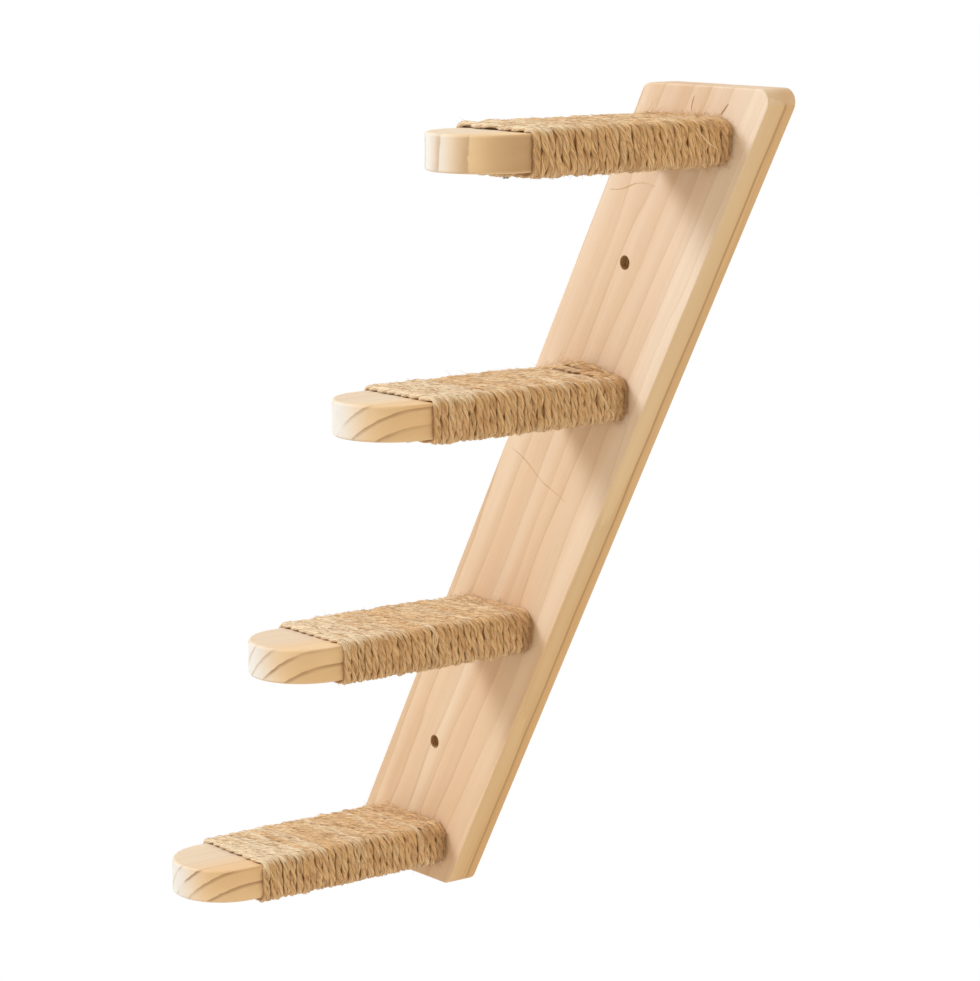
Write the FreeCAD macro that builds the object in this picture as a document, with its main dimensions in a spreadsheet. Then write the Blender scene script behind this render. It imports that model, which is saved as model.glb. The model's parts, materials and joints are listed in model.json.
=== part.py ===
import FreeCAD, Part
import math
import os
import Sketcher

# Cat ladder for a wall: one leaning pine board and four pine treads wound with jute rope.
# Millimetres. The origin is the centre of the board's back face, which lies on the wall.
# +X runs to the right along the wall, +Z is up, and the treads reach out along -Y.

SIZES = (
    # Back board, a parallelogram with level ends
    ("board_height", 600),
    ("board_width", 126),
    ("board_thick", 24),
    ("lean_run", 343),
    ("corner_radius", 9),
    ("board_ease", 1.2),
    # Treads, each with a rope-wound stretch, a short bare stretch and a half-round tip
    ("tread_width", 74),
    ("tread_thick", 24),
    ("wrap_length", 163),
    ("bare_length", 7),
    ("tread_ease", 2),
    ("tread_drop", 23),
    ("tread_rise", 19),
    ("tread_shift", 4),
    # Rope
    ("rope_diameter", 5),
    ("turn_gap", 1.5),
    ("rope_clearance", 0.2),
    ("wrap_gap", 0.5),
    ("tail_reach", 14),
    # Screws that hold the treads, driven in from the back
    ("screw_diameter", 4.8),
    ("screw_length", 64),
    ("screw_point", 6),
    ("head_diameter", 9.6),
    ("head_sink", 0.4),
    ("screw_clearance", 0.1),
    ("screw_inset", 15),
    ("recess_span", 4.4),
    ("recess_slot", 1.2),
    ("recess_depth", 1.8),
    # Staples that hold the rope's two ends
    ("staple_wire", 1),
    ("staple_crown", 4),
    ("staple_leg", 12),
    ("staple_clearance", 0.05),
    # Holes for the wall screws, a bore with a wider mouth for the screw's head
    ("wall_bore", 5),
    ("mouth_bore", 9.5),
    ("mouth_depth", 5),
    ("upper_hole_drop", 121),
    ("lower_hole_rise", 106),
    ("hole_shift", 13),
    # How far every cutting tool runs past the face that it opens
    ("cut_overrun", 1),
)
TREADS = ("top", "upper", "lower", "bottom")
SAMPLES_PER_EDGE = 6

doc = FreeCAD.newDocument("CatLadder")
sheet = doc.addObject("Spreadsheet::Sheet", "Sheet")
for row, (alias, number) in enumerate(SIZES, start=1):
    sheet.set("A%d" % row, alias)
    sheet.set("B%d" % row, str(number))
    sheet.setAlias("B%d" % row, alias)
doc.recompute()

finished = []


def size(alias):
    return float(sheet.get(alias))


def bind(thing, **expressions):
    for prop, expression in expressions.items():
        thing.setExpression(prop, expression)
    return thing


def finish(thing, label):
    thing.Label = label
    finished.append(thing)
    return thing


# Body and sketch helpers

def origin_plane(body, role):
    return next(plane for plane in body.Origin.OriginFeatures if plane.Role == role)


def new_sketch(body, name, role):
    sketch = body.newObject("Sketcher::SketchObject", name)
    sketch.AttachmentSupport = [(origin_plane(body, role), "")]
    sketch.MapMode = "FlatFace"
    return sketch


def place_point(sketch, piece, end, across, up):
    for kind, expression in (("DistanceX", across), ("DistanceY", up)):
        distance = float(sketch.evalExpression(expression))
        index = sketch.addConstraint(Sketcher.Constraint(kind, -1, 1, piece, end, distance))
        sketch.setExpression("Constraints[%d]" % index, expression)


def polygon(sketch, corners):
    count = len(corners)
    drawn = [FreeCAD.Vector(sketch.evalExpression(across), sketch.evalExpression(up), 0)
             for across, up in corners]
    first = sketch.GeometryCount
    for index in range(count):
        sketch.addGeometry(Part.LineSegment(drawn[index], drawn[(index + 1) % count]))
    for index, (across, up) in enumerate(corners):
        sketch.addConstraint(
            Sketcher.Constraint("Coincident", first + index, 2, first + (index + 1) % count, 1))
        place_point(sketch, first + index, 1, across, up)


def pad(body, sketch, name, length):
    feature = body.newObject("PartDesign::Pad", name)
    feature.Profile = sketch
    bind(feature, Length=length)
    doc.recompute()
    return feature


def fillet(body, base, name, radius, chosen):
    feature = body.newObject("PartDesign::Fillet", name)
    edges = enumerate(base.Shape.Edges, start=1)
    feature.Base = (base, ["Edge%d" % number for number, edge in edges if chosen(edge)])
    bind(feature, Radius=radius)
    doc.recompute()
    return feature


# Cutting tools along Y: the local +Z of each one is turned to +Y

def along_y(x, y, z):
    turn = FreeCAD.Rotation(FreeCAD.Vector(1, 0, 0), -90)
    return FreeCAD.Placement(FreeCAD.Vector(x, y, z), turn)


def rod(name, x, y, z, radius, length):
    tool = bind(doc.addObject("Part::Cylinder", name), Radius=radius, Height=length)
    tool.Placement = along_y(x, y, z)
    return tool


def fuse(name, shapes):
    joined = doc.addObject("Part::MultiFuse", name)
    joined.Shapes = shapes
    return joined


def cut(name, base, tool):
    result = doc.addObject("Part::Cut", name)
    result.Base = base
    result.Tool = tool
    return result


# Places that the pieces share

lean = size("lean_run") / size("board_height")
board_front = -size("board_thick")
screw_offset = size("tread_width") / 2 - size("screw_inset")
screw_sides = (("left", -screw_offset), ("right", screw_offset))


def tread_centre(index):
    # The treads are evenly spaced from the drop below the board's top to the rise above its foot.
    half_height = size("board_height") / 2
    highest = half_height - size("tread_drop") - size("tread_thick") / 2
    lowest = size("tread_rise") + size("tread_thick") / 2 - half_height
    height = highest + (lowest - highest) * index / (len(TREADS) - 1)
    return FreeCAD.Vector(lean * height + size("tread_shift"), board_front, height)


# Back board

def board_blank():
    body = doc.addObject("PartDesign::Body", "BoardBlank")
    sketch = new_sketch(body, "BoardOutline", "XZ_Plane")
    half_run = "(Sheet.lean_run + Sheet.board_width) / 2"
    half_gap = "(Sheet.lean_run - Sheet.board_width) / 2"
    half_height = "Sheet.board_height / 2"
    polygon(sketch, (
        ("-" + half_run, "-" + half_height),
        ("-" + half_gap, "-" + half_height),
        (half_run, half_height),
        (half_gap, half_height),
    ))
    block = pad(body, sketch, "BoardPad", "Sheet.board_thick")
    half_thick = size("board_thick") / 2
    corners = fillet(body, block, "BoardCorners", "Sheet.corner_radius",
                     lambda edge: edge.BoundBox.YLength > half_thick)
    fillet(body, corners, "BoardEasing", "Sheet.board_ease",
           lambda edge: edge.BoundBox.YLength < half_thick)
    return body


def wall_hole(name, height):
    x = lean * height - size("hole_shift")
    start = board_front - size("cut_overrun")
    bore = rod(name + "Bore", x, start, height,
               "Sheet.wall_bore / 2", "Sheet.board_thick + 2 * Sheet.cut_overrun")
    mouth = rod(name + "Mouth", x, start, height,
                "Sheet.mouth_bore / 2", "Sheet.mouth_depth + Sheet.cut_overrun")
    return [bore, mouth]


def screw_seat(name, x, height):
    cone_depth = (size("head_diameter") - size("screw_diameter")) / 2
    shank = rod(name + "Shank", x, board_front - size("cut_overrun"), height,
                "Sheet.screw_diameter / 2 + Sheet.screw_clearance",
                "Sheet.board_thick + 2 * Sheet.cut_overrun")
    cone = bind(doc.addObject("Part::Cone", name + "Cone"),
                Radius1="Sheet.screw_diameter / 2 + Sheet.screw_clearance",
                Radius2="Sheet.head_diameter / 2 + Sheet.screw_clearance",
                Height="(Sheet.head_diameter - Sheet.screw_diameter) / 2")
    cone.Placement = along_y(x, -size("head_sink") - cone_depth, height)
    mouth = rod(name + "Mouth", x, -size("head_sink"), height,
                "Sheet.head_diameter / 2 + Sheet.screw_clearance",
                "Sheet.head_sink + Sheet.cut_overrun")
    return [shank, cone, mouth]


def back_board():
    tools = wall_hole("UpperHole", size("board_height") / 2 - size("upper_hole_drop"))
    tools += wall_hole("LowerHole", size("lower_hole_rise") - size("board_height") / 2)
    for index, which in enumerate(TREADS):
        centre = tread_centre(index)
        for side, offset in screw_sides:
            name = "Seat" + which.title() + side.title()
            tools += screw_seat(name, centre.x + offset, centre.z)
    return finish(cut("BackBoard", board_blank(), fuse("BoardHoles", tools)), "back_board")


# Treads

def tread_blank(which, centre):
    body = doc.addObject("PartDesign::Body", "Tread" + which.title())
    sketch = new_sketch(body, "TreadOutline" + which.title(), "XY_Plane")
    half = size("tread_width") / 2
    front = -size("wrap_length") - size("bare_length")
    corners = [FreeCAD.Vector(*place) for place in
               ((-half, front, 0), (-half, 0, 0), (half, 0, 0), (half, front, 0))]
    for start, end in zip(corners, corners[1:]):
        sketch.addGeometry(Part.LineSegment(start, end))
    middle = FreeCAD.Vector(0, front, 0)
    circle = Part.Circle(middle, FreeCAD.Vector(0, 0, 1), half)
    tip = sketch.addGeometry(Part.ArcOfCircle(circle, math.pi, 2 * math.pi))
    for first, first_end, second, second_end in ((0, 2, 1, 1), (1, 2, 2, 1), (2, 2, tip, 2), (tip, 1, 0, 1)):
        sketch.addConstraint(Sketcher.Constraint("Coincident", first, first_end, second, second_end))
    half_width = "Sheet.tread_width / 2"
    straight = "-(Sheet.wrap_length + Sheet.bare_length)"
    place_point(sketch, 0, 1, "-" + half_width, straight)
    place_point(sketch, 1, 1, "-" + half_width, "0")
    place_point(sketch, 2, 1, half_width, "0")
    place_point(sketch, 2, 2, half_width, straight)
    sketch.addConstraint(Sketcher.Constraint("Horizontal", tip, 3, 2, 2))
    bar = pad(body, sketch, "TreadPad" + which.title(), "Sheet.tread_thick")
    half_thick = size("tread_thick") / 2
    fillet(body, bar, "TreadEasing" + which.title(), "Sheet.tread_ease",
           lambda edge: edge.BoundBox.ZLength < half_thick
           and edge.BoundBox.YMin < front / 2)
    body.Placement.Base = centre - FreeCAD.Vector(0, 0, half_thick)
    return body


def pilot_hole(name, centre, offset):
    depth = size("screw_length") + size("head_sink") - size("board_thick") + size("screw_clearance")
    return rod(name, centre.x + offset, centre.y - depth, centre.z,
               "Sheet.screw_diameter / 2 + Sheet.screw_clearance",
               "Sheet.screw_length + Sheet.head_sink - Sheet.board_thick"
               " + Sheet.screw_clearance + Sheet.cut_overrun")


# Screws, drawn with the head's face at the local origin and the point down -Z

def tread_screw(which, side, x, height):
    name = which.title() + side.title()
    body = doc.addObject("PartDesign::Body", "Screw" + name)
    sketch = new_sketch(body, "ScrewProfile" + name, "XZ_Plane")
    shank = "Sheet.screw_diameter / 2"
    polygon(sketch, (
        ("0", "0"),
        ("0", "-Sheet.screw_length"),
        (shank, "Sheet.screw_point - Sheet.screw_length"),
        (shank, "(Sheet.screw_diameter - Sheet.head_diameter) / 2"),
        ("Sheet.head_diameter / 2", "0"),
    ))
    turned = body.newObject("PartDesign::Revolution", "ScrewTurned" + name)
    turned.Profile = sketch
    turned.ReferenceAxis = (sketch, ["V_Axis"])
    turned.Angle = 360
    doc.recompute()
    cross = new_sketch(body, "ScrewCross" + name, "XY_Plane")
    long_half = "Sheet.recess_span / 2"
    slot_half = "Sheet.recess_slot / 2"
    quarter = ((long_half, slot_half), (slot_half, slot_half), (slot_half, long_half))
    outline = list(quarter)
    outline += [("-" + across, up) for across, up in reversed(quarter)]
    outline += [("-" + across, "-" + up) for across, up in quarter]
    outline += [(across, "-" + up) for across, up in reversed(quarter)]
    polygon(cross, outline)
    recess = body.newObject("PartDesign::Pocket", "ScrewRecess" + name)
    recess.Profile = cross
    bind(recess, Length="Sheet.recess_depth")
    doc.recompute()
    assert recess.Shape.Volume < turned.Shape.Volume, "the screw's recess cuts nothing"
    body.Placement = along_y(x, -size("head_sink"), height)
    return finish(body, "%s_tread_screw_%s" % (which, side))


# Rope winding, in a frame at the middle of the tread's end on the board
# It starts under the tread at the board and winds up the right side and over to the left.

def rope_course():
    standoff = size("rope_diameter") / 2 + size("rope_clearance")
    reach_x = size("tread_width") / 2 + standoff
    reach_z = size("tread_thick") / 2 + standoff
    around = 4 * (reach_x + reach_z)
    tail = size("tail_reach")
    first_y = -size("wrap_gap") - size("rope_diameter") / 2
    last_y = -size("wrap_length") + size("rope_diameter") / 2
    turns = int((first_y - last_y) / (size("rope_diameter") + size("turn_gap")))
    slope = (last_y - first_y) / (around * turns + 2 * tail)
    return {"reach_x": reach_x, "reach_z": reach_z, "tail": tail, "turns": turns,
            "first_y": first_y, "last_y": last_y, "slope": slope}


def rope_points(course):
    reach_x = course["reach_x"]
    reach_z = course["reach_z"]
    lap = ((reach_x, -reach_z), (reach_x, reach_z), (-reach_x, reach_z), (-reach_x, -reach_z))
    laps = lap * course["turns"]
    points = [FreeCAD.Vector(-course["tail"], course["first_y"], -reach_z)]
    for x, z in laps:
        step = abs(x - points[-1].x) + abs(z - points[-1].z)
        points.append(FreeCAD.Vector(x, points[-1].y + course["slope"] * step, z))
    points.append(FreeCAD.Vector(course["tail"], course["last_y"], -reach_z))
    return points


def rounded_wire(points, radius):
    edges = []
    start = points[0]
    for before, corner, after in zip(points, points[1:], points[2:]):
        incoming = (corner - before).normalize()
        outgoing = (after - corner).normalize()
        half_turn = incoming.getAngle(outgoing) / 2
        inward = (outgoing - incoming).normalize()
        first = corner - incoming * (radius * math.tan(half_turn))
        last = corner + outgoing * (radius * math.tan(half_turn))
        middle = corner + inward * (radius / math.cos(half_turn) - radius)
        edges.append(Part.LineSegment(start, first).toShape())
        edges.append(Part.Arc(first, middle, last).toShape())
        start = last
    edges.append(Part.LineSegment(start, points[-1]).toShape())
    return Part.Wire(edges)


def least_self_gap(wire, lap_edges):
    samples = [edge.discretize(SAMPLES_PER_EDGE) for edge in wire.Edges]
    nearest = float("inf")
    for index, line in enumerate(samples):
        for other in samples[index + lap_edges - 1:index + lap_edges + 2]:
            nearest = min(nearest, min(a.distanceToPoint(b) for a in line for b in other))
    return nearest - size("rope_diameter")


def rope_tube():
    course = rope_course()
    points = rope_points(course)
    bend = size("tread_ease") + size("rope_diameter") / 2 + size("rope_clearance")
    wire = rounded_wire(points, bend)
    section = Part.makeCircle(size("rope_diameter") / 2, points[0], points[1] - points[0])
    tube = wire.makePipeShell([Part.Wire([section])], True, False)
    lap_edges = (len(wire.Edges) - 1) // course["turns"]
    section_area = math.pi * size("rope_diameter") ** 2 / 4
    print("rope turns %d, length %.0f, bend radius %.2f, least gap to itself %.2f"
          % (course["turns"], wire.Length, bend, least_self_gap(wire, lap_edges)))
    print("rope volume over section times length %.4f" % (tube.Volume / (section_area * wire.Length)))
    return tube


# Staples, one over each end of the rope, with the crown along Y and the legs up into the tread

def staple_places(centre):
    course = rope_course()
    inset = size("rope_diameter")
    x = course["tail"] - inset
    z = -course["reach_z"] - size("rope_diameter") / 2
    start = FreeCAD.Vector(-x, course["first_y"] + course["slope"] * inset, z)
    end = FreeCAD.Vector(x, course["last_y"] - course["slope"] * inset, z)
    return (("inner", centre + start), ("outer", centre + end))


def staple_shape(name, place, clearance, spare):
    # The crown's outer face lies at the height of the place; spare is how far each face stands off.
    wire = "Sheet.staple_wire" + clearance
    leg_offset = (size("staple_crown") - size("staple_wire")) / 2
    boxes = []
    for part, width, height, middle in (
        ("Crown", "Sheet.staple_crown" + clearance, wire, 0),
        ("LegIn", wire, "Sheet.staple_leg" + clearance, leg_offset),
        ("LegOut", wire, "Sheet.staple_leg" + clearance, -leg_offset),
    ):
        box = bind(doc.addObject("Part::Box", name + part), Length=wire, Width=width, Height=height)
        wide = size("staple_crown") if part == "Crown" else size("staple_wire")
        corner = FreeCAD.Vector(size("staple_wire") / 2, wide / 2 - middle, 0)
        box.Placement.Base = place - corner - FreeCAD.Vector(spare, spare, spare)
        boxes.append(box)
    return fuse(name, boxes)


def tread_assembly(index, which, tube):
    centre = tread_centre(index)
    title = which.title()
    tools = []
    for side, offset in screw_sides:
        tread_screw(which, side, centre.x + offset, centre.z)
        tools.append(pilot_hole("Pilot" + title + side.title(), centre, offset))
    spaces = []
    for end, place in staple_places(centre):
        staple = staple_shape("Staple" + title + end.title(), place, "", 0)
        finish(staple, "%s_rope_staple_%s" % (which, end))
        spaces.append(staple_shape("StapleSpace" + title + end.title(), place,
                                   " + 2 * Sheet.staple_clearance", size("staple_clearance")))
    staple_space = fuse("StapleSpaces" + title, spaces)
    holes = fuse("TreadHoles" + title, tools + [staple_space])
    finish(cut("TreadCut" + title, tread_blank(which, centre), holes), which + "_tread")
    winding = doc.addObject("Part::Feature", "RopeTube" + title)
    winding.Shape = tube
    winding.Placement.Base = centre
    finish(cut("RopeWrap" + title, winding, staple_space), which + "_rope_wrap")


back_board()
rope = rope_tube()
for number, place_name in enumerate(TREADS):
    tread_assembly(number, place_name, rope)
doc.recompute()

# Every object has to be sound before anything is written

for thing in doc.Objects:
    if "Invalid" in thing.State or "Error" in thing.State:
        raise RuntimeError("%s failed: %s" % (thing.Name, thing.State))
for thing in finished:
    if thing.Shape.isNull() or not thing.Shape.isValid():
        raise RuntimeError("%s has no sound shape" % thing.Label)
    if len(thing.Shape.Solids) != 1:
        raise RuntimeError("%s is %d solids" % (thing.Label, len(thing.Shape.Solids)))

os.makedirs("parts", exist_ok=True)
for thing in finished:
    thing.Shape.exportStep("parts/%s.step" % thing.Label)
print("%d pieces written" % len(finished))
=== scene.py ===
import json
import math
import bpy
import numpy as np
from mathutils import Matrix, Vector


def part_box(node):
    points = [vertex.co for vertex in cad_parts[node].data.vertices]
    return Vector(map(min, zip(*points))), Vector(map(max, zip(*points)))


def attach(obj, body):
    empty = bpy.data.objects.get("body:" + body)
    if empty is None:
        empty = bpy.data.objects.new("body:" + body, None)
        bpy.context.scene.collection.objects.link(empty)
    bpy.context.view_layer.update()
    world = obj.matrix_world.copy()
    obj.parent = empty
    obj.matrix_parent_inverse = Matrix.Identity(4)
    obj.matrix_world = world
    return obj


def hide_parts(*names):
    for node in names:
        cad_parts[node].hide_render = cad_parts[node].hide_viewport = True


# Cat ladder: a leaning pine board for a wall and four pine treads wound with jute rope
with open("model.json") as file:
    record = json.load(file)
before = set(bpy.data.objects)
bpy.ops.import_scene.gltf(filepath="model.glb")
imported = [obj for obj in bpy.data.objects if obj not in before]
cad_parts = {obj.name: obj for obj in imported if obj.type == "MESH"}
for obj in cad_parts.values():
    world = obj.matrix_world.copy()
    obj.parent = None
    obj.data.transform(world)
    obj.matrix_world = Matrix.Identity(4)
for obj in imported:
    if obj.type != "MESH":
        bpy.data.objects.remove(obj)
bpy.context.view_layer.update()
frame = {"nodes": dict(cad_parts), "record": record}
bpy.ops.object.select_all(action="DESELECT")
scene = bpy.context.scene
scene.view_settings.view_transform = "Standard"

treadNames = ("top", "upper", "lower", "bottom")
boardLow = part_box("back_board")[0]
mountPlaces = {mount["name"]: mount["pos_m"] for mount in frame["record"]["mounts"]}


def treadFacts(which):
    low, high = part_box(which + "_tread")
    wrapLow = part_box(which + "_rope_wrap")[0]
    return {"centre": (low + high) / 2, "halfWide": (high.x - low.x) / 2, "halfTall": (high.z - low.z) / 2,
            "wall": high.y, "wrapEnd": wrapLow.y}


treads = {which: treadFacts(which) for which in treadNames}
topCentre = treads["top"]["centre"]
bottomCentre = treads["bottom"]["centre"]
leanAngle = math.atan2(topCentre.x - bottomCentre.x, topCentre.z - bottomCentre.z)
print("frame loaded, board leans", round(math.degrees(leanAngle), 1), "degrees")


# Camera, light and floor
cameraLook = {"place": (1.7526, -1.4339, 0.4094), "yaw": 0.909, "pitch": 0.175,
              "lens": 119.99, "sensor": 36, "pixelsWide": 980, "pixelsTall": 981}
lampLook = {
    "key": {"place": (-1.5, -2.2, 2.0), "size": 1.3, "power": 78, "colour": (0.80, 0.89, 1.0)},
    "left": {"place": (-2.4, -0.9, 0.3), "size": 1.8, "power": 4, "colour": (0.86, 0.93, 1.0)},
}
worldLook = {"left": (0.62, 0.53, 0.42, 1), "right": (1.0, 0.845, 0.61, 1), "strength": 0.87,
             "warmFrom": -0.35, "warmTo": 0.65, "backdrop": (1, 1, 1, 1)}
floorLook = {"drop": 0.42, "size": 14, "colour": (0.87, 0.86, 0.84, 1), "fadeFrom": 0.55, "fadeTo": 1.05,
             "grainScale": (30, 30, 30), "rough": 0.75, "grainRough": 0.1}


def addCamera(look):
    turn = (math.pi / 2 - look["pitch"], 0, look["yaw"])
    bpy.ops.object.camera_add(location=look["place"], rotation=turn)
    camera = bpy.context.object
    camera.data.sensor_fit = "HORIZONTAL"
    camera.data.sensor_width = look["sensor"]
    camera.data.lens = look["lens"]
    scene.camera = camera
    bpy.context.view_layer.update()
    return camera


def addLamp(name, look):
    place = Vector(look["place"])
    turn = (-place).to_track_quat("-Z", "Y").to_euler()
    bpy.ops.object.light_add(type="AREA", location=place, rotation=turn)
    lamp = bpy.context.object
    lamp.name = name + "Lamp"
    lamp.data.size = look["size"]
    lamp.data.energy = look["power"]
    lamp.data.color = look["colour"]


class Wire:
    # A socket that can be reckoned with: each sign adds its Math node
    def __init__(self, tree, socket=None):
        self.tree = tree
        self.socket = socket

    def add(self, kind, settings=None, sockets=None, out=0):
        node = self.tree.nodes.new(kind)
        for name, value in (settings or {}).items():
            setattr(node, name, value)
        for key, value in (sockets or {}).items():
            if isinstance(value, Wire):
                self.tree.links.new(value.socket, node.inputs[key])
            else:
                node.inputs[key].default_value = value
        return Wire(self.tree, node.outputs[out] if len(node.outputs) else None)

    def reckon(self, operation, *terms):
        return self.add("ShaderNodeMath", {"operation": operation}, dict(enumerate(terms)))

    def __add__(self, other):
        return self.reckon("ADD", self, other)

    def __radd__(self, other):
        return self.reckon("ADD", other, self)

    def __sub__(self, other):
        return self.reckon("SUBTRACT", self, other)

    def __rsub__(self, other):
        return self.reckon("SUBTRACT", other, self)

    def __mul__(self, other):
        return self.reckon("MULTIPLY", self, other)

    def __rmul__(self, other):
        return self.reckon("MULTIPLY", other, self)

    def __pow__(self, other):
        return self.reckon("POWER", self, other)

    def __abs__(self):
        return self.reckon("ABSOLUTE", self)


def newMaterial(name):
    material = bpy.data.materials.new(name)
    material.use_nodes = True
    material.node_tree.nodes.clear()
    return material, Wire(material.node_tree)


def axes(vector):
    split = vector.add("ShaderNodeSeparateXYZ", None, {0: vector})
    outputs = split.socket.node.outputs
    return [Wire(vector.tree, outputs[index]) for index in range(3)]


def stretched(vector, scales):
    return vector.add("ShaderNodeVectorMath", {"operation": "MULTIPLY"}, {0: vector, 1: scales})


def lengthOf(vector):
    return vector.add("ShaderNodeVectorMath", {"operation": "LENGTH"}, {0: vector}, "Value")


def clouds(vector, scales, detail, out="Fac"):
    spread = {"Vector": stretched(vector, scales), "Scale": 1.0, "Detail": detail}
    return vector.add("ShaderNodeTexNoise", None, spread, out)


def centred(noise):
    return noise - 0.5


def ease(value, low, high):
    spans = {"Value": value, "From Min": low, "From Max": high}
    return value.add("ShaderNodeMapRange", {"interpolation_type": "SMOOTHSTEP"}, spans)


def blendColour(share, first, second, mode="MIX"):
    # The colour sockets of a Mix node share their names with others, so they go by number
    settings = {"data_type": "RGBA", "blend_type": mode}
    return share.add("ShaderNodeMix", settings, {0: share, 6: first, 7: second}, 2)


def multiplied(first, second):
    settings = {"data_type": "RGBA", "blend_type": "MULTIPLY"}
    return first.add("ShaderNodeMix", settings, {0: 1.0, 6: first, 7: second}, 2)


def grey(value):
    return value.add("ShaderNodeCombineColor", None, {0: value, 1: value, 2: value})


def bumped(height, depth):
    return height.add("ShaderNodeBump", None, {"Height": height, "Distance": depth, "Strength": 1.0})


def closeMaterial(wire, sockets):
    shader = wire.add("ShaderNodeBsdfPrincipled", None, sockets)
    wire.add("ShaderNodeOutputMaterial", None, {"Surface": shader})


def lightPath(wire):
    path = wire.add("ShaderNodeLightPath")
    outputs = path.socket.node.outputs
    rayNames = ("Is Camera Ray", "Is Glossy Ray", "Is Transmission Ray")
    straight, mirrored, through = (Wire(wire.tree, outputs[name]) for name in rayNames)
    return straight, wire.reckon("MAXIMUM", straight, wire.reckon("MAXIMUM", mirrored, through))


def setWorld(look):
    world = bpy.data.worlds.new("whiteRoom")
    scene.world = world
    world.use_nodes = True
    world.node_tree.nodes.clear()
    wire = Wire(world.node_tree)
    backdropSeen = lightPath(wire)[1]
    towards = wire.add("ShaderNodeTexCoord", out="Generated")
    warmSide = ease(axes(towards)[0], look["warmFrom"], look["warmTo"])
    tint = blendColour(warmSide, look["left"], look["right"])
    soft = wire.add("ShaderNodeBackground", None, {"Color": tint, "Strength": look["strength"]})
    plain = wire.add("ShaderNodeBackground", None, {"Color": look["backdrop"], "Strength": 1.0})
    mixed = wire.add("ShaderNodeMixShader", None, {0: backdropSeen, 1: soft, 2: plain})
    wire.add("ShaderNodeOutputWorld", None, {"Surface": mixed})


def floorMaterial(look):
    # The floor fades into the white backdrop away from the ladder
    material, wire = newMaterial("paleFloor")
    spot = wire.add("ShaderNodeTexCoord", out="Object")
    far = ease(lengthOf(spot), look["fadeFrom"], look["fadeTo"])
    rough = look["rough"] + clouds(spot, look["grainScale"], 4) * look["grainRough"]
    cameraSeen = lightPath(wire)[0]
    matt = wire.add("ShaderNodeBsdfPrincipled", None, {"Base Color": look["colour"], "Roughness": rough})
    white = wire.add("ShaderNodeEmission", None, {"Color": worldLook["backdrop"], "Strength": 1.0})
    mixed = wire.add("ShaderNodeMixShader", None, {0: far * cameraSeen, 1: matt, 2: white})
    wire.add("ShaderNodeOutputMaterial", None, {"Surface": mixed})
    return material


def addFloor(look):
    bpy.ops.mesh.primitive_plane_add(size=look["size"], location=(0, 0, boardLow.z - look["drop"]))
    floor = bpy.context.object
    floor.name = "studioFloor"
    floor.data.materials.append(floorMaterial(look))
    bpy.ops.object.select_all(action="DESELECT")


camera = addCamera(cameraLook)
for lampName, lampSettings in lampLook.items():
    addLamp(lampName, lampSettings)
setWorld(worldLook)
addFloor(floorLook)
print("camera, lamps and floor set")


# Pine: growth rings about a pith line, with fine fibres along the grain
pineLook = {
    "fineFibre": (1500, 1500, 22), "coarseFibre": (260, 260, 5), "pithWander": (9, 9, 2.2),
    "ringDrift": (34, 34, 6), "blushSpread": (26, 26, 1.2), "blushFrom": 0.38, "blushTo": 0.66,
    "bandFrom": 0.10, "bandTo": 0.94, "lineTo": 0.93, "ringEnd": 0.95, "clearFrom": 0.30, "clearTo": 0.55,
    "tone": 0.955, "fibreTone": 0.09, "rough": 0.58, "fibreRough": 0.14, "lateRough": 0.06, "shine": 0.25,
    "fibreHeight": 0.7, "lateHeight": 0.3, "relief": 0.00025,
}
boardLook = dict(pineLook, **{
    "turn": (0, -leanAngle, 0), "pith": (-0.130, 0.045), "ringWidth": 0.0150, "lateFrom": 0.84,
    "early": (0.86, 0.71, 0.56, 1), "late": (0.57, 0.36, 0.195, 1), "blush": (0.785, 0.58, 0.405, 1),
    "ringShare": 0.58, "bandShare": 0.55, "wander": 0.016, "wobble": 0.14, "uneven": 1.1, "streak": 0.10,
    "seed": 0.0, "flatShare": 0.0, "weakest": 0.25,
    "foot": (0.97, 0.92, 0.84, 1), "footSpan": 0.30,
    "sideShadeTint": (1.02, 0.985, 0.84, 1), "edgeFrom": 0.0535, "edgeTo": 0.0545,
    "edgeLine": -0.0085, "edgeLineHalf": 0.0017, "edgeDark": (0.46, 0.26, 0.11, 1), "edgeDarkShare": 0.75,
    "edgeBack": (0.99, 0.93, 0.85, 1), "edgeBackFade": 0.002, "edgeWaver": 0.006, "waverScale": (8, 8, 8),
})
treadLook = dict(pineLook, **{
    "turn": (math.pi / 2, 0, 0), "ringWidth": 0.0105, "lateFrom": 0.70,
    "early": (0.895, 0.72, 0.51, 1), "late": (0.36, 0.21, 0.12, 1), "blush": (0.85, 0.65, 0.435, 1),
    "ringShare": 1.0, "bandShare": 0.12, "wander": 0.004, "wobble": 0.10, "uneven": 0.3, "streak": 0.05,
    "seedStep": 3.7, "flatShare": 0.8, "weakest": 0.65,
    "leftLight": (0.775, 0.75, 0.715, 1), "leftLightFrom": -0.024, "leftLightTo": 0.006, "leftLightOnTop": 0.35,
    "leftLightMost": 0.95, "leftLightOffLate": 0.85, "rightShade": (1.0, 0.93, 0.82, 1), "rightShadeTo": 0.03,
})
treadRings = {
    "top": {"pith": (-0.300, 0.020), "ringWidth": 0.0190, "ringShare": 0.65, "bandShare": 0.8},
    "upper": {"pith": (0.108, -0.118)},
    "lower": {"pith": (0.100, -0.108)},
    "bottom": {"pith": (0.102, -0.094)},
}
holeLook = {"mouth": 0.00475, "rim": 0.0006, "colour": (0.46, 0.29, 0.15, 1)}


def levelness(wire):
    # 1 on faces that lie level, 0 on upright ones
    return abs(axes(wire.add("ShaderNodeNewGeometry", out="Normal"))[2])


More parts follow.
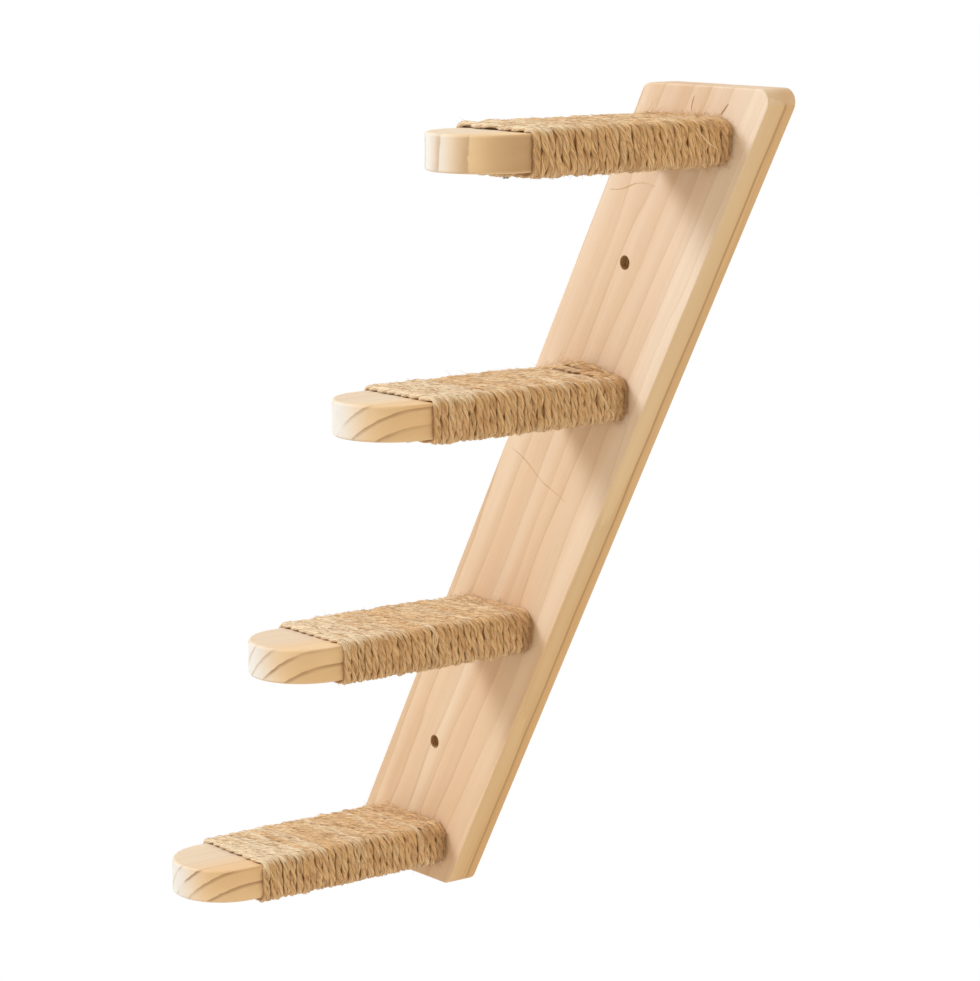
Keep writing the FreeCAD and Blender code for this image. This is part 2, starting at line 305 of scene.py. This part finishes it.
def pineColour(wire, look, shift):
    spot = wire.add("ShaderNodeTexCoord", out="Object")
    turned = {"Vector": spot, "Rotation": look["turn"], "Location": shift}
    settled = wire.add("ShaderNodeMapping", None, turned)
    seeded = settled.add("ShaderNodeVectorMath", {"operation": "ADD"}, {0: settled, 1: (look["seed"],) * 3})
    drift = axes(clouds(seeded, look["pithWander"], 2, "Color"))
    fromPith = axes(settled)
    across, through = (fromPith[axis] + centred(drift[axis]) * look["wander"] for axis in (0, 1))
    ring = (across * across + through * through) ** 0.5 * (1 / look["ringWidth"])
    streak = clouds(seeded, look["coarseFibre"], 3)
    bend = clouds(seeded, look["ringDrift"], 2)
    ring = ring + centred(streak) * look["wobble"] + centred(bend) * look["uneven"]
    season = ring.reckon("FRACT", ring)
    year = ring.reckon("FLOOR", ring)
    vigour = year.add("ShaderNodeTexWhiteNoise", {"noise_dimensions": "1D"}, {"W": year + look["seed"]})
    # Each ring darkens slowly to its late wood, with a darker line, and ends sharply
    band = ease(season, look["bandFrom"], look["bandTo"]) * look["bandShare"]
    line = ease(season, look["lateFrom"], look["lineTo"]) * (1 - look["bandShare"])
    late = band + line * ease(bend, look["clearFrom"], look["clearTo"])
    late = late * (1 - ease(season, look["ringEnd"], 1.0))
    late = late * (look["weakest"] + vigour * (1 - look["weakest"]))
    late = late * (1 - levelness(wire) * look["flatShare"])
    fibre = clouds(seeded, look["fineFibre"], 3)
    patch = clouds(seeded, look["blushSpread"], 2)
    colour = blendColour(ease(patch, look["blushFrom"], look["blushTo"]), look["early"], look["blush"])
    colour = blendColour(late * look["ringShare"], colour, look["late"])
    tone = look["tone"] - look["streak"] / 2 + fibre * look["fibreTone"] + streak * look["streak"]
    colour = multiplied(colour, grey(tone))
    return spot, colour, late, fibre


def pineSurface(wire, look, colour, late, fibre):
    height = fibre * look["fibreHeight"] + late * look["lateHeight"]
    rough = look["rough"] + fibre * look["fibreRough"] - late * look["lateRough"]
    closeMaterial(wire, {"Base Color": colour, "Roughness": rough, "Specular IOR Level": look["shine"],
                         "Normal": bumped(height, look["relief"])})


def boardMaterial(look):
    material, wire = newMaterial("boardPine")
    spot, colour, late, fibre = pineColour(wire, look, (-look["pith"][0], -look["pith"][1], 0))
    settled = wire.add("ShaderNodeMapping", None, {"Vector": spot, "Rotation": look["turn"]})
    across, through, along = axes(settled)
    footShare = ease(along * -1, -look["footSpan"], look["footSpan"])
    colour = blendColour(footShare, colour, look["foot"], "MULTIPLY")
    # The sawn side faces get a warm tint that is painted shade; they have one dark line along them and a
    # warmer strip behind it
    sideFaces = ease(abs(across), look["edgeFrom"], look["edgeTo"])
    colour = blendColour(sideFaces, colour, look["sideShadeTint"], "MULTIPLY")
    waver = centred(clouds(settled, look["waverScale"], 2)) * look["edgeWaver"]
    fromLine = through + waver - look["edgeLine"]
    edgeLine = 1 - ease(abs(fromLine), 0, look["edgeLineHalf"])
    edgeBack = ease(fromLine, 0, look["edgeBackFade"])
    colour = blendColour(sideFaces * edgeBack, colour, look["edgeBack"], "MULTIPLY")
    colour = blendColour(sideFaces * edgeLine * look["edgeDarkShare"], colour, look["edgeDark"])
    # The mouths of the wall holes are painted dark brown as painted shade in the recesses
    for name in ("upper_wall_hole", "lower_wall_hole"):
        place = mountPlaces[name]
        offset = spot.add("ShaderNodeVectorMath", {"operation": "SUBTRACT"}, {0: spot, 1: place})
        away = lengthOf(stretched(offset, (1, 0, 1)))
        insideShade = 1 - ease(away, holeLook["mouth"], holeLook["mouth"] + holeLook["rim"])
        colour = blendColour(insideShade, colour, holeLook["colour"])
    pineSurface(wire, look, colour, late, fibre)
    return material


def treadMaterial(which, seedNumber):
    material, wire = newMaterial(which + "TreadPine")
    look = dict(treadLook, seed=treadLook["seedStep"] * seedNumber, **treadRings[which])
    centre = treads[which]["centre"]
    shift = (-centre.x - look["pith"][0], centre.z + look["pith"][1], 0)
    spot, colour, late, fibre = pineColour(wire, look, shift)
    # Painted shade makes the right side warmer and painted light makes the left side pale
    fromLeft = centre.x - axes(spot)[0]
    colour = blendColour(ease(fromLeft * -1, 0, look["rightShadeTo"]), colour, look["rightShade"], "MULTIPLY")
    sideOn = 1 - levelness(wire) * (1 - look["leftLightOnTop"])
    leftLightShare = ease(fromLeft, look["leftLightFrom"], look["leftLightTo"]) * sideOn
    leftLightShare = leftLightShare * (look["leftLightMost"] - late * look["leftLightOffLate"])
    colour = blendColour(leftLightShare, colour, look["leftLight"])
    pineSurface(wire, look, colour, late, fibre)
    return material


def dress(node, material):
    piece = frame["nodes"][node]
    piece.data.materials.clear()
    piece.data.materials.append(material)


dress("back_board", boardMaterial(boardLook))
for seedNumber, treadName in enumerate(treadNames, start=1):
    dress(treadName + "_tread", treadMaterial(treadName, seedNumber))
print("pine dressed")


# Steel of the screws and staples
wearLook = {"smearScale": (400, 90, 400), "dullFrom": 0.35, "dullTo": 0.7,
            "scratchScale": (2500, 300, 2500), "scratchRough": 0.2, "scratchDepth": 0.00005}
steelLook = {
    "screw": {"colour": (0.62, 0.60, 0.54, 1), "dull": (0.42, 0.41, 0.38, 1), "rough": 0.32},
    "staple": {"colour": (0.50, 0.48, 0.45, 1), "dull": (0.32, 0.31, 0.30, 1), "rough": 0.45},
}


def steelMaterial(name):
    material, wire = newMaterial(name + "Steel")
    look = dict(wearLook, **steelLook[name])
    spot = wire.add("ShaderNodeTexCoord", out="Object")
    smear = clouds(spot, look["smearScale"], 4)
    scratch = clouds(spot, look["scratchScale"], 2)
    colour = blendColour(ease(smear, look["dullFrom"], look["dullTo"]), look["colour"], look["dull"])
    rough = look["rough"] + scratch * look["scratchRough"]
    closeMaterial(wire, {"Base Color": colour, "Metallic": 1.0, "Roughness": rough,
                         "Normal": bumped(scratch, look["scratchDepth"])})
    return material


screwSteel = steelMaterial("screw")
stapleSteel = steelMaterial("staple")
for treadName in treadNames:
    for side in ("left", "right"):
        dress(treadName + "_tread_screw_" + side, screwSteel)
    for end in ("inner", "outer"):
        dress(treadName + "_rope_staple_" + end, stapleSteel)
print("steel dressed")


# Jute rope: three plies laid round each other, wound edge to edge round each tread
ropeLook = {
    "turns": 29, "seed": 40, "step": 0.0017, "lapPoints": 129, "squareShare": 0.8,
    "plies": 3, "plyRadius": 0.00132, "plyOffset": 0.00168, "flat": 0.50, "spread": 0.20, "sides": 8,
    "lay": 0.027, "layJitter": 0.6, "layReach": 0.045, "yarnLay": 0.036, "plyApart": 20,
    "standoff": 0.0020, "corner": 0.0034, "wallCorner": 0.0066, "wallEase": 0.030, "wallGap": 0.0005,
    "tail": 0.014, "tailLift": 0.0003, "endShare": 0.3, "rowFrom": 0.64, "rowShade": 0.65,
    "pitchJitter": 0.00024, "pitchReach": 0.05, "liftJitter": 0.00026, "liftReach": 0.035,
    "slub": 0.14, "slubReach": 0.012,
    "sleeveLift": 0.0006, "sleeveInset": 0.0035, "sleeveRings": 48, "sleeveShade": 0.34, "sleeveTone": 0.4,
}


def unit(vectors):
    return vectors / np.linalg.norm(vectors, axis=-1, keepdims=True)


def lapTable(halfWide, halfTall, corner):
    # One lap from the middle of the underside, up the right side and over the top
    angle = np.linspace(-math.pi / 2, 3 * math.pi / 2, ropeLook["lapPoints"])
    normal = np.stack((np.cos(angle), np.sin(angle)), axis=1)
    quarter = np.sign(np.round(normal, 6))
    point = quarter * (halfWide - corner, halfTall - corner) + corner * normal
    length = np.concatenate(([0], np.cumsum(np.linalg.norm(np.diff(point, axis=0), axis=1))))
    return length, point, normal


def onLap(table, distance):
    length, point, normal = table
    around = np.mod(distance, length[-1])
    place = [np.interp(around, length, point[:, axis]) for axis in (0, 1)]
    facing = [np.interp(around, length, normal[:, axis]) for axis in (0, 1)]
    return place, facing


def wavering(draw, distance, reach, amount):
    # Smooth uneven drift along the rope
    knots = np.arange(0, distance[-1] + 2 * reach, reach)
    return np.interp(distance, knots, draw.normal(0, amount, len(knots)))


def aroundTread(tread, table, wallTable, lapShare, rounder, lift, y):
    place, facing = onLap(table, lapShare * table[0][-1])
    wallPlace, wallFacing = onLap(wallTable, lapShare * wallTable[0][-1])
    x, z = (place[axis] + (wallPlace[axis] - place[axis]) * rounder for axis in (0, 1))
    nx, nz = (facing[axis] + (wallFacing[axis] - facing[axis]) * rounder for axis in (0, 1))
    outward = unit(np.stack((nx, 0 * nx, nz), axis=1))
    centre = np.stack((x + tread["centre"].x, 0 * x, z + tread["centre"].z), axis=1)
    centre = centre + outward * lift[:, None]
    centre[:, 1] = y
    return centre, outward


def windingCourse(tread, look, draw):
    halfWide = tread["halfWide"] + look["standoff"]
    halfTall = tread["halfTall"] + look["standoff"]
    table = lapTable(halfWide, halfTall, look["corner"] + look["standoff"])
    wallTable = lapTable(halfWide, halfTall, look["wallCorner"] + look["standoff"])
    lapLength = table[0][-1]
    distance = np.arange(0, lapLength * look["turns"] + 2 * look["tail"], look["step"])
    ropeHalf = look["plyRadius"] + look["plyOffset"]
    firstY = tread["wall"] - look["wallGap"] - ropeHalf
    lastY = tread["wrapEnd"] + ropeHalf
    # The first and last turns stand square to the tread
    squareEnd = lapLength * look["squareShare"]
    progress = np.clip((distance - squareEnd) / (distance[-1] - 2 * squareEnd), 0, 1)
    y = firstY + (lastY - firstY) * progress
    y = np.clip(y + wavering(draw, distance, look["pitchReach"], look["pitchJitter"]), lastY, firstY)
    # The corners are rounder where the rope crowds against the wall
    rounder = np.clip(1 - (firstY - y) / look["wallEase"], 0, 1)
    lapShare = (distance - look["tail"]) / lapLength
    lift = wavering(draw, distance, look["liftReach"], look["liftJitter"])
    fromEnd = np.minimum(distance, distance[-1] - distance)
    lift = lift + look["tailLift"] * np.clip(2 - fromEnd / look["tail"], 0, 1)
    centre, outward = aroundTread(tread, table, wallTable, lapShare, rounder, lift, y)
    return distance, centre, outward


raisedLook = {"sink": 0.0008, "sway": 0.003, "swayBend": 1.3, "tone": 0.5}
raisedTurns = {"upper": (  # Each turn's place from the wall, its lift and half its length
    (0.0040, 0.0040, 0.030), (0.0090, 0.0044, 0.031), (0.0140, 0.0036, 0.033),
    (0.0062, 0.0078, 0.021), (0.0112, 0.0070, 0.018))}


def raisedCourse(tread, look, place, lift, reach):
    # A short turn that rides over the winding's top and dives into it at both ends
    halfWide = tread["halfWide"] + look["standoff"]
    halfTall = tread["halfTall"] + look["standoff"]
    table = lapTable(halfWide, halfTall, look["wallCorner"] + look["standoff"])
    distance = np.arange(0, 2 * reach, look["step"])
    share = distance / distance[-1]
    lapShare = 0.5 + (distance - reach) / table[0][-1]
    rise = lift * np.sin(math.pi * share) ** 0.5 - raisedLook["sink"]
    y = tread["wall"] - place - raisedLook["sway"] * np.sin(math.pi * share * raisedLook["swayBend"])
    centre, outward = aroundTread(tread, table, table, lapShare, 0 * share, rise, y)
    return distance, centre, outward


toneLook = {
    "middle": 0.45, "reach": 0.06, "spread": 0.14, "least": 0.15, "most": 0.68, "onTop": 0.17,
    "paleToneAndTopLight": 0.55, "tipTopLightFrom": 0.003, "tipTopLightSpan": 0.058,
    "wallShadeDepth": 0.85, "wallFrom": 0.005, "wallSpan": 0.006, "wallTopShare": 0.6,
}


def ropeTones(tread, look, distance, centre, outward, draw):
    # Painted light makes the rope paler on top, more so towards the tip, and painted shade makes it darker
    # at the wall
    own = look["middle"] + wavering(draw, distance, look["reach"], look["spread"])
    own = np.clip(own, look["least"], look["most"])
    onTop = np.clip(outward[:, 2], 0, 1)
    fromEnd = centre[:, 1] - tread["wrapEnd"]
    tipTopLight = np.clip(1 - (fromEnd - look["tipTopLightFrom"]) / look["tipTopLightSpan"], 0, 1) * onTop
    fromWall = tread["wall"] - centre[:, 1]
    wallShade = np.clip(1 - (fromWall - look["wallFrom"]) / look["wallSpan"], 0, 1)
    wallShade = wallShade * (1 - look["wallTopShare"] * onTop)
    return (own + look["onTop"] * onTop + look["paleToneAndTopLight"] * tipTopLight) * (1 - look["wallShadeDepth"] * wallShade)


def sweepTubes(spines, outward, radii, sides):
    # Closed tubes round the spines; the first side of each ring faces outward
    count, steps = spines.shape[:2]
    forward = unit(np.gradient(spines, axis=1))
    up = unit(outward - (outward * forward).sum(axis=2, keepdims=True) * forward)
    across = np.cross(forward, up)
    angle = 2 * math.pi * np.arange(sides) / sides
    ring = np.cos(angle)[:, None] * up[:, :, None] + np.sin(angle)[:, None] * across[:, :, None]
    points = spines[:, :, None] + radii[..., None] * ring
    index = np.arange(count * steps * sides).reshape(count, steps, sides)
    beside = np.roll(index, -1, axis=2)
    quads = np.stack((index[:, :-1], beside[:, :-1], beside[:, 1:], index[:, 1:]), axis=3)
    caps = np.concatenate((index[:, 0, ::-1], index[:, -1]))
    return points.reshape(-1, 3), quads.reshape(-1, 4).tolist() + caps.tolist(), up, across


class Bundle:
    # Gathers tubes and sheets, with the jute's own coordinates, into one mesh; its lift and tone also carry
    # painted light and shade
    def __init__(self):
        self.points = []
        self.faces = []
        self.yarn = []
        self.lift = []
        self.tone = []
        self.total = 0

    def gather(self, points, faces, yarn, lift, tone):
        self.faces += [[corner + self.total for corner in face] for face in faces]
        self.total += len(points)
        self.points.append(points)
        self.yarn.append(yarn.reshape(-1, 3))
        self.lift.append(np.broadcast_to(lift, len(points)))
        self.tone.append(np.broadcast_to(tone, len(points)))

    def build(self, name):
        mesh = bpy.data.meshes.new(name)
        mesh.from_pydata(np.concatenate(self.points).tolist(), [], self.faces)
        mesh.attributes.new("yarn", "FLOAT_VECTOR", "POINT").data.foreach_set(
            "vector", np.concatenate(self.yarn).astype(np.float32).ravel())
        for label, values in (("lift", self.lift), ("tone", self.tone)):
            mesh.attributes.new(label, "FLOAT", "POINT").data.foreach_set(
                "value", np.concatenate(values).astype(np.float32))
        mesh.shade_smooth()
        piece = bpy.data.objects.new(name, mesh)
        scene.collection.objects.link(piece)
        return piece


def layPlies(bundle, distance, centre, outward, look, draw, tone):
    # Each ply circles the rope's line and widens where it lies on top
    sides = look["sides"]
    along = np.array((0, -1, 0))
    angle = 2 * math.pi * np.arange(sides) / sides
    reach = look["plyOffset"] * look["flat"] + look["plyRadius"]
    ropeHalf = look["plyOffset"] + look["plyRadius"]
    plies = []
    for ply in range(look["plies"]):
        turn = 2 * math.pi * (distance / look["lay"] + ply / look["plies"])
        turn = turn + wavering(draw, distance, look["layReach"], look["layJitter"])
        rise = np.cos(turn) * look["plyOffset"] * look["flat"]
        sway = np.sin(turn) * look["plyOffset"]
        spine = centre + outward * rise[:, None] + along * sway[:, None]
        swell = 1 + wavering(draw, distance, look["slubReach"], look["slub"])
        wide = 1 + look["spread"] * np.cos(turn)[:, None] ** 2
        radii = look["plyRadius"] * swell[:, None] / np.hypot(np.cos(angle), np.sin(angle) / wide)
        radii[[0, -1]] *= look["endShare"]
        points, faces, up, across = sweepTubes(spine[None], outward[None], radii[None], sides)
        # Painted shade darkens the low sides and the rows between the turns
        lift = np.clip(0.5 + 0.5 * (rise[:, None] + radii * np.cos(angle)) / reach, 0, 1)
        aside = np.abs(sway[:, None] - radii * np.sin(angle)) / ropeHalf
        row = np.clip((aside - look["rowFrom"]) / (1 - look["rowFrom"]), 0, 1)
        lift = lift * (1 - look["rowShade"] * row)
        turned = angle + 2 * math.pi * distance[:, None] / look["yarnLay"]
        run = np.broadcast_to(distance[:, None] + look["plyApart"] * ply, turned.shape)
        yarn = np.stack((radii * np.cos(turned), radii * np.sin(turned), run), axis=2)
        bundle.gather(points, faces, yarn, lift.ravel(), np.repeat(tone, sides))
        plies.append((spine, up[0], across[0], radii.mean(axis=1)))
    return plies


fuzzLook = {
    "points": 6, "sides": 3, "runSpread": 5,
    "laidShare": 0.26, "laidRadius": 0.00017, "laidTurn": 1.4, "laidDrift": 0.16, "laidTaper": 0.5,
    "laidTones": (0.1, 1.0), "curl": 0.0011,
    "count": 1100, "radius": 0.00017, "taper": 0.6, "shortest": 0.003, "longest": 0.008,
    "tones": (0.45, 1.0), "wallShare": 0.82, "wallReach": 0.020, "wallHairShade": 0.55,
    "hug": 0.10, "fray": 0.60, "strays": (0.1, 1.6),
    "lean": 1.5, "rootShare": 0.9, "headingJitter": 0.20, "bendJitter": 0.45, "bendBack": 0.30,
}


def gatherHairs(bundle, spines, away, radii, look, shades, draw):
    points, faces = sweepTubes(spines, away, radii, look["sides"])[:2]
    each = look["points"] * look["sides"]
    run = np.repeat(draw.uniform(0, look["runSpread"], len(shades)), each)
    shade = np.repeat(shades, each)
    bundle.gather(points, faces, np.stack((run * 0, run * 0, run), axis=1), 0.5 + 0.5 * shade, shade)


def layFibres(bundle, plies, look, draw):
    # Fibres that lie along the plies, each with one end a little loose
    steps = np.arange(look["points"])
    loose = (steps / steps[-1]) ** 2
    for spine, up, across, radius in plies:
        start = draw.integers(0, len(spine) - len(steps), int(len(spine) * look["laidShare"]))
        count = len(start)
        rows = start[:, None] + steps
        turn = draw.uniform(-look["laidTurn"], look["laidTurn"], count)[:, None]
        turn = turn + draw.normal(0, look["laidDrift"], count)[:, None] * steps
        away = np.cos(turn)[..., None] * up[rows] + np.sin(turn)[..., None] * across[rows]
        height = radius[rows] + draw.uniform(0, look["curl"], count)[:, None] * loose
        spines = spine[rows] + away * height[..., None]
        taper = (1 - look["laidTaper"] * loose)[None, :, None]
        radii = look["laidRadius"] * taper * np.ones((count, 1, look["sides"]))
        gatherHairs(bundle, spines, away, radii, look, draw.uniform(*look["laidTones"], count), draw)


def addFuzz(bundle, plies, tread, look, draw):
    # Loose fibre ends that stand off the plies, thickest at the wall
    spine, up, across, radius = (np.concatenate(parts) for parts in zip(*plies))
    nearWall = np.flatnonzero(spine[:, 1] > tread["wall"] - look["wallReach"])
    count = look["count"]
    wallCount = int(count * look["wallShare"])
    chosen = np.concatenate((draw.choice(nearWall, wallCount),
                             draw.integers(0, len(spine), count - wallCount)))
    lean = draw.uniform(-look["lean"], look["lean"], count)[:, None]
    away = np.cos(lean) * up[chosen] + np.sin(lean) * across[chosen]
    root = spine[chosen] + away * radius[chosen][:, None] * look["rootShare"]
    forward = np.cross(up[chosen], across[chosen]) * draw.choice((-1, 1), count)[:, None]
    stray = np.where(np.arange(count) < wallCount, look["fray"], look["hug"])[:, None]
    strength = draw.uniform(*look["strays"], count)[:, None]
    heading = unit(forward + away * stray * strength + draw.normal(0, look["headingJitter"], away.shape))
    bend = draw.normal(0, look["bendJitter"], away.shape) - away * look["bendBack"]
    length = draw.uniform(look["shortest"], look["longest"], count)
    share = np.linspace(0, 1, look["points"])[None, :, None]
    spines = root[:, None] + length[:, None, None] * (heading[:, None] * share + bend[:, None] * share ** 2)
    radii = look["radius"] * (1 - look["taper"] * share) * np.ones((count, 1, look["sides"]))
    away = np.broadcast_to(away[:, None], spines.shape)
    shades = draw.uniform(*look["tones"], count)
    # Hairs at the wall are darker as painted shade
    shades[:wallCount] *= look["wallHairShade"]
    gatherHairs(bundle, spines, away, radii, look, shades, draw)


def addSleeve(bundle, tread, look):
    # The rope's inner side, which closes the view of the wood between the turns, carries painted shade
    halfWide = tread["halfWide"] + look["sleeveLift"]
    halfTall = tread["halfTall"] + look["sleeveLift"]
    place = lapTable(halfWide, halfTall, look["corner"])[1][:-1]
    firstY = tread["wall"] - look["wallGap"] - look["sleeveInset"]
    ys = np.linspace(firstY, tread["wrapEnd"] + look["sleeveInset"], look["sleeveRings"])
    sides = len(place)
    ring = np.stack((place[:, 0], 0 * place[:, 0], place[:, 1]), axis=1)
    points = ring[None] + (tread["centre"].x, 0, tread["centre"].z)
    points = np.broadcast_to(points, (len(ys), sides, 3)).copy()
    points[:, :, 1] = ys[:, None]
    index = np.arange(len(ys) * sides).reshape(len(ys), sides)
    beside = np.roll(index, -1, axis=1)
    quads = np.stack((index[:-1], index[1:], beside[1:], beside[:-1]), axis=2).reshape(-1, 4)
    flat = points.reshape(-1, 3)
    bundle.gather(flat, quads.tolist(), flat, look["sleeveShade"], look["sleeveTone"])


juteLook = {
    "straw": (0.96, 0.70, 0.41, 1), "tan": (0.87, 0.575, 0.295, 1), "tanFrom": 0.32, "tanTo": 0.68,
    "brown": (0.45, 0.235, 0.095, 1), "fleckShare": 0.60, "fleckOffPale": 0.35,
    "pale": (1.0, 0.87, 0.65, 1), "paleFrom": 0.5, "paleTo": 1.0, "paleShare": 0.85,
    "shadow": (0.33, 0.16, 0.062, 1), "dimTo": 0.3, "dimShare": 0.85,
    "lowFrom": 0.05, "lowTo": 0.52, "lowOffPale": 0.6,
    "fibreScale": (900, 900, 70), "fibreFrom": 0.48, "fibreTo": 0.66, "fibreHeight": 0.6,
    "fleckScale": (420, 420, 130), "fleckFrom": 0.55, "fleckTo": 0.66, "fleckHeight": 0.4,
    "driftScale": (60, 60, 28), "yarns": 6, "yarnShade": 0.30, "yarnDrift": 9, "grooveFrom": 0.1,
    "grooveHeight": 0.6, "relief": 0.0005,
    "rough": 0.78, "fibreRough": 0.14, "shine": 0.2, "sheen": 0.25, "sheenRough": 0.5,
}


def juteMaterial(look):
    material, wire = newMaterial("juteRope")
    yarn = wire.add("ShaderNodeAttribute", {"attribute_name": "yarn"}, out="Vector")
    lift = wire.add("ShaderNodeAttribute", {"attribute_name": "lift"}, out="Fac")
    tone = wire.add("ShaderNodeAttribute", {"attribute_name": "tone"}, out="Fac")
    fibre = clouds(yarn, look["fibreScale"], 3)
    fleck = clouds(yarn, look["fleckScale"], 3)
    drift = clouds(yarn, look["driftScale"], 2)
    # Grooves between the yarns twist along each ply and are darkened with painted shade
    up, across = axes(yarn)[:2]
    swing = wire.reckon("ARCTAN2", across, up) * look["yarns"] + centred(drift) * look["yarnDrift"]
    groove = ease(wire.reckon("COSINE", swing), look["grooveFrom"], 1.0)
    # The pale mask is partly the rope's own paler tone and partly painted light on the tops
    paleToneAndTopLight = ease(tone, look["paleFrom"], look["paleTo"])
    fleckShare = look["fleckShare"] - paleToneAndTopLight * look["fleckOffPale"]
    colour = blendColour(ease(drift, look["tanFrom"], look["tanTo"]), look["straw"], look["tan"])
    colour = blendColour(paleToneAndTopLight * look["paleShare"], colour, look["pale"])
    darkFibre = ease(fibre, look["fibreFrom"], look["fibreTo"])
    darkFleck = ease(fleck, look["fleckFrom"], look["fleckTo"])
    colour = blendColour(darkFibre * fleckShare, colour, look["brown"])
    colour = blendColour(darkFleck * fleckShare, colour, look["brown"])
    colour = blendColour(groove * look["yarnShade"], colour, look["brown"])
    # Low tones turn to the shadow colour: dark fibres, and painted shade at the wall
    dim = (1 - ease(tone, 0.0, look["dimTo"])) * look["dimShare"]
    colour = blendColour(dim, colour, look["shadow"])
    # Painted shade on low sides, rows between the turns and the sleeve, less of it where the tops are
    # painted pale
    low = (1 - ease(lift, look["lowFrom"], look["lowTo"])) * (1 - paleToneAndTopLight * look["lowOffPale"])
    colour = blendColour(low, colour, look["shadow"])
    height = fibre * look["fibreHeight"] + fleck * look["fleckHeight"] - groove * look["grooveHeight"]
    rough = look["rough"] + fibre * look["fibreRough"]
    closeMaterial(wire, {"Base Color": colour, "Roughness": rough, "Specular IOR Level": look["shine"],
                         "Sheen Weight": look["sheen"], "Sheen Roughness": look["sheenRough"],
                         "Normal": bumped(height, look["relief"])})
    return material


def finishJute(bundle, name):
    piece = bundle.build(name)
    piece.data.materials.append(jute)
    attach(piece, "root")
    print(name, "has", sum(len(face.vertices) - 2 for face in piece.data.polygons), "triangles")
    return piece


jute = juteMaterial(juteLook)
for seedNumber, treadName in enumerate(treadNames, start=1):
    treadPlace = treads[treadName]
    dice = np.random.default_rng(ropeLook["seed"] + seedNumber)
    bundle = Bundle()
    distance, centre, outward = windingCourse(treadPlace, ropeLook, dice)
    tones = ropeTones(treadPlace, toneLook, distance, centre, outward, dice)
    plies = layPlies(bundle, distance, centre, outward, ropeLook, dice, tones)
    for raisedTurn in raisedTurns.get(treadName, ()):
        course = raisedCourse(treadPlace, ropeLook, *raisedTurn)
        plies += layPlies(bundle, *course, ropeLook, dice, np.full(len(course[0]), raisedLook["tone"]))
    addSleeve(bundle, treadPlace, ropeLook)
    wrap = finishJute(bundle, treadName + "_rope_winding")
    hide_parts(treadName + "_rope_wrap")
    hairs = Bundle()
    layFibres(hairs, plies, fuzzLook, dice)
    addFuzz(hairs, plies, treadPlace, fuzzLook, dice)
    finishJute(hairs, treadName + "_rope_fuzz")
    print(treadName, "rope wound:", round(float(distance[-1]), 2), "m")


# Loose jute, by its places in the photograph's 980 by 981 frame, on the board or on a wrap's right side
fibreLook = {"sides": 5, "points": 40, "rest": 0.0002, "wrapRise": 0.0043, "endShare": 0.45, "shade": 0.2}
fibreRoutes = {
    "below_upper": {"radius": 0.00020, "tone": 0.3, "pixels": (
        (511.7, 447.5), (518, 453), (525.4, 459.6), (533, 470.2),
        (540.5, 481), (548, 487), (556, 494), (564, 501))},
    "below_top": {"radius": 0.00020, "tone": 0.3, "pixels": (
        (609.4, 189), (620, 189.7), (630, 185.2), (640.5, 181.8), (648, 184), (655, 186.7))},
    "above_top_left": {"radius": 0.00022, "tone": 0.3, "pixels": (
        (694, 96), (693, 99), (692, 103), (691, 108), (692, 113))},
    "above_top_middle": {"radius": 0.00020, "tone": 0.3, "pixels": (
        (681, 109), (683, 112), (686, 115), (690, 118))},
    "above_top_right": {"radius": 0.00038, "tone": 0.2, "pixels": (
        (728, 104), (726, 107), (723.5, 110.5), (721, 114))},
    "above_top_tail": {"radius": 0.00016, "tone": 0.3, "pixels": (
        (721, 114), (718, 116), (712, 116.5), (704, 117))},
    "over_top_wrap": {"radius": 0.00050, "tone": 0.85, "wrap": "top", "pixels": (
        (697, 128), (701, 134), (706, 141), (712, 146), (719, 150))},
    "over_upper_wrap": {"radius": 0.00042, "tone": 0.9, "wrap": "upper", "pixels": (
        (598, 388), (603, 396), (606, 405), (612, 413))},
}


def spotOn(pixel, axis, level):
    # Where the camera's line through a pixel meets a plane square to one axis
    focal = cameraLook["lens"] / cameraLook["sensor"] * cameraLook["pixelsWide"]
    ray = Vector(((pixel[0] - cameraLook["pixelsWide"] / 2) / focal,
                  (cameraLook["pixelsTall"] / 2 - pixel[1]) / focal, -1))
    ray = camera.matrix_world.to_3x3() @ ray
    start = camera.matrix_world.translation
    return start + ray * ((level - start[axis]) / ray[axis])


def routeSpots(route):
    if "wrap" in route:
        tread = treads[route["wrap"]]
        level = tread["centre"].x + tread["halfWide"] + fibreLook["wrapRise"]
        return [spotOn(pixel, 0, level) for pixel in route["pixels"]], (1.0, 0.0, 0.0)
    level = boardLow.y - fibreLook["rest"]
    return [spotOn(pixel, 1, level) for pixel in route["pixels"]], (0.0, -1.0, 0.0)


def smoothRoute(spots, count):
    curve = bpy.data.curves.new("route", "CURVE")
    curve.dimensions = "3D"
    spline = curve.splines.new("NURBS")
    spline.points.add(len(spots) - 1)
    for point, spot in zip(spline.points, spots):
        point.co = (*spot, 1)
    spline.order_u = 3
    spline.use_endpoint_u = True
    spline.resolution_u = max(2, count // len(spots))
    holder = bpy.data.objects.new("route", curve)
    mesh = bpy.data.meshes.new_from_object(holder)
    points = np.array([vertex.co for vertex in mesh.vertices])
    bpy.data.objects.remove(holder)
    bpy.data.meshes.remove(mesh)
    return points


def addLooseFibre(name, route, look):
    spots, facing = routeSpots(route)
    spine = smoothRoute(spots, look["points"])
    outward = np.broadcast_to(facing, spine.shape)
    swell = np.sin(math.pi * np.linspace(0, 1, len(spine)))
    thickness = route["radius"] * (look["endShare"] + (1 - look["endShare"]) * swell)
    radii = thickness[:, None] * np.ones(look["sides"])
    points, faces = sweepTubes(spine[None], outward[None], radii[None], look["sides"])[:2]
    fibre = Bundle()
    fibre.gather(points, faces, points, look["shade"] + (1 - look["shade"]) * route["tone"], route["tone"])
    finishJute(fibre, "loose_fibre_" + name)


for routeName, route in fibreRoutes.items():
    addLooseFibre(routeName, route, fibreLook)
print("loose fibres laid:", len(fibreRoutes))
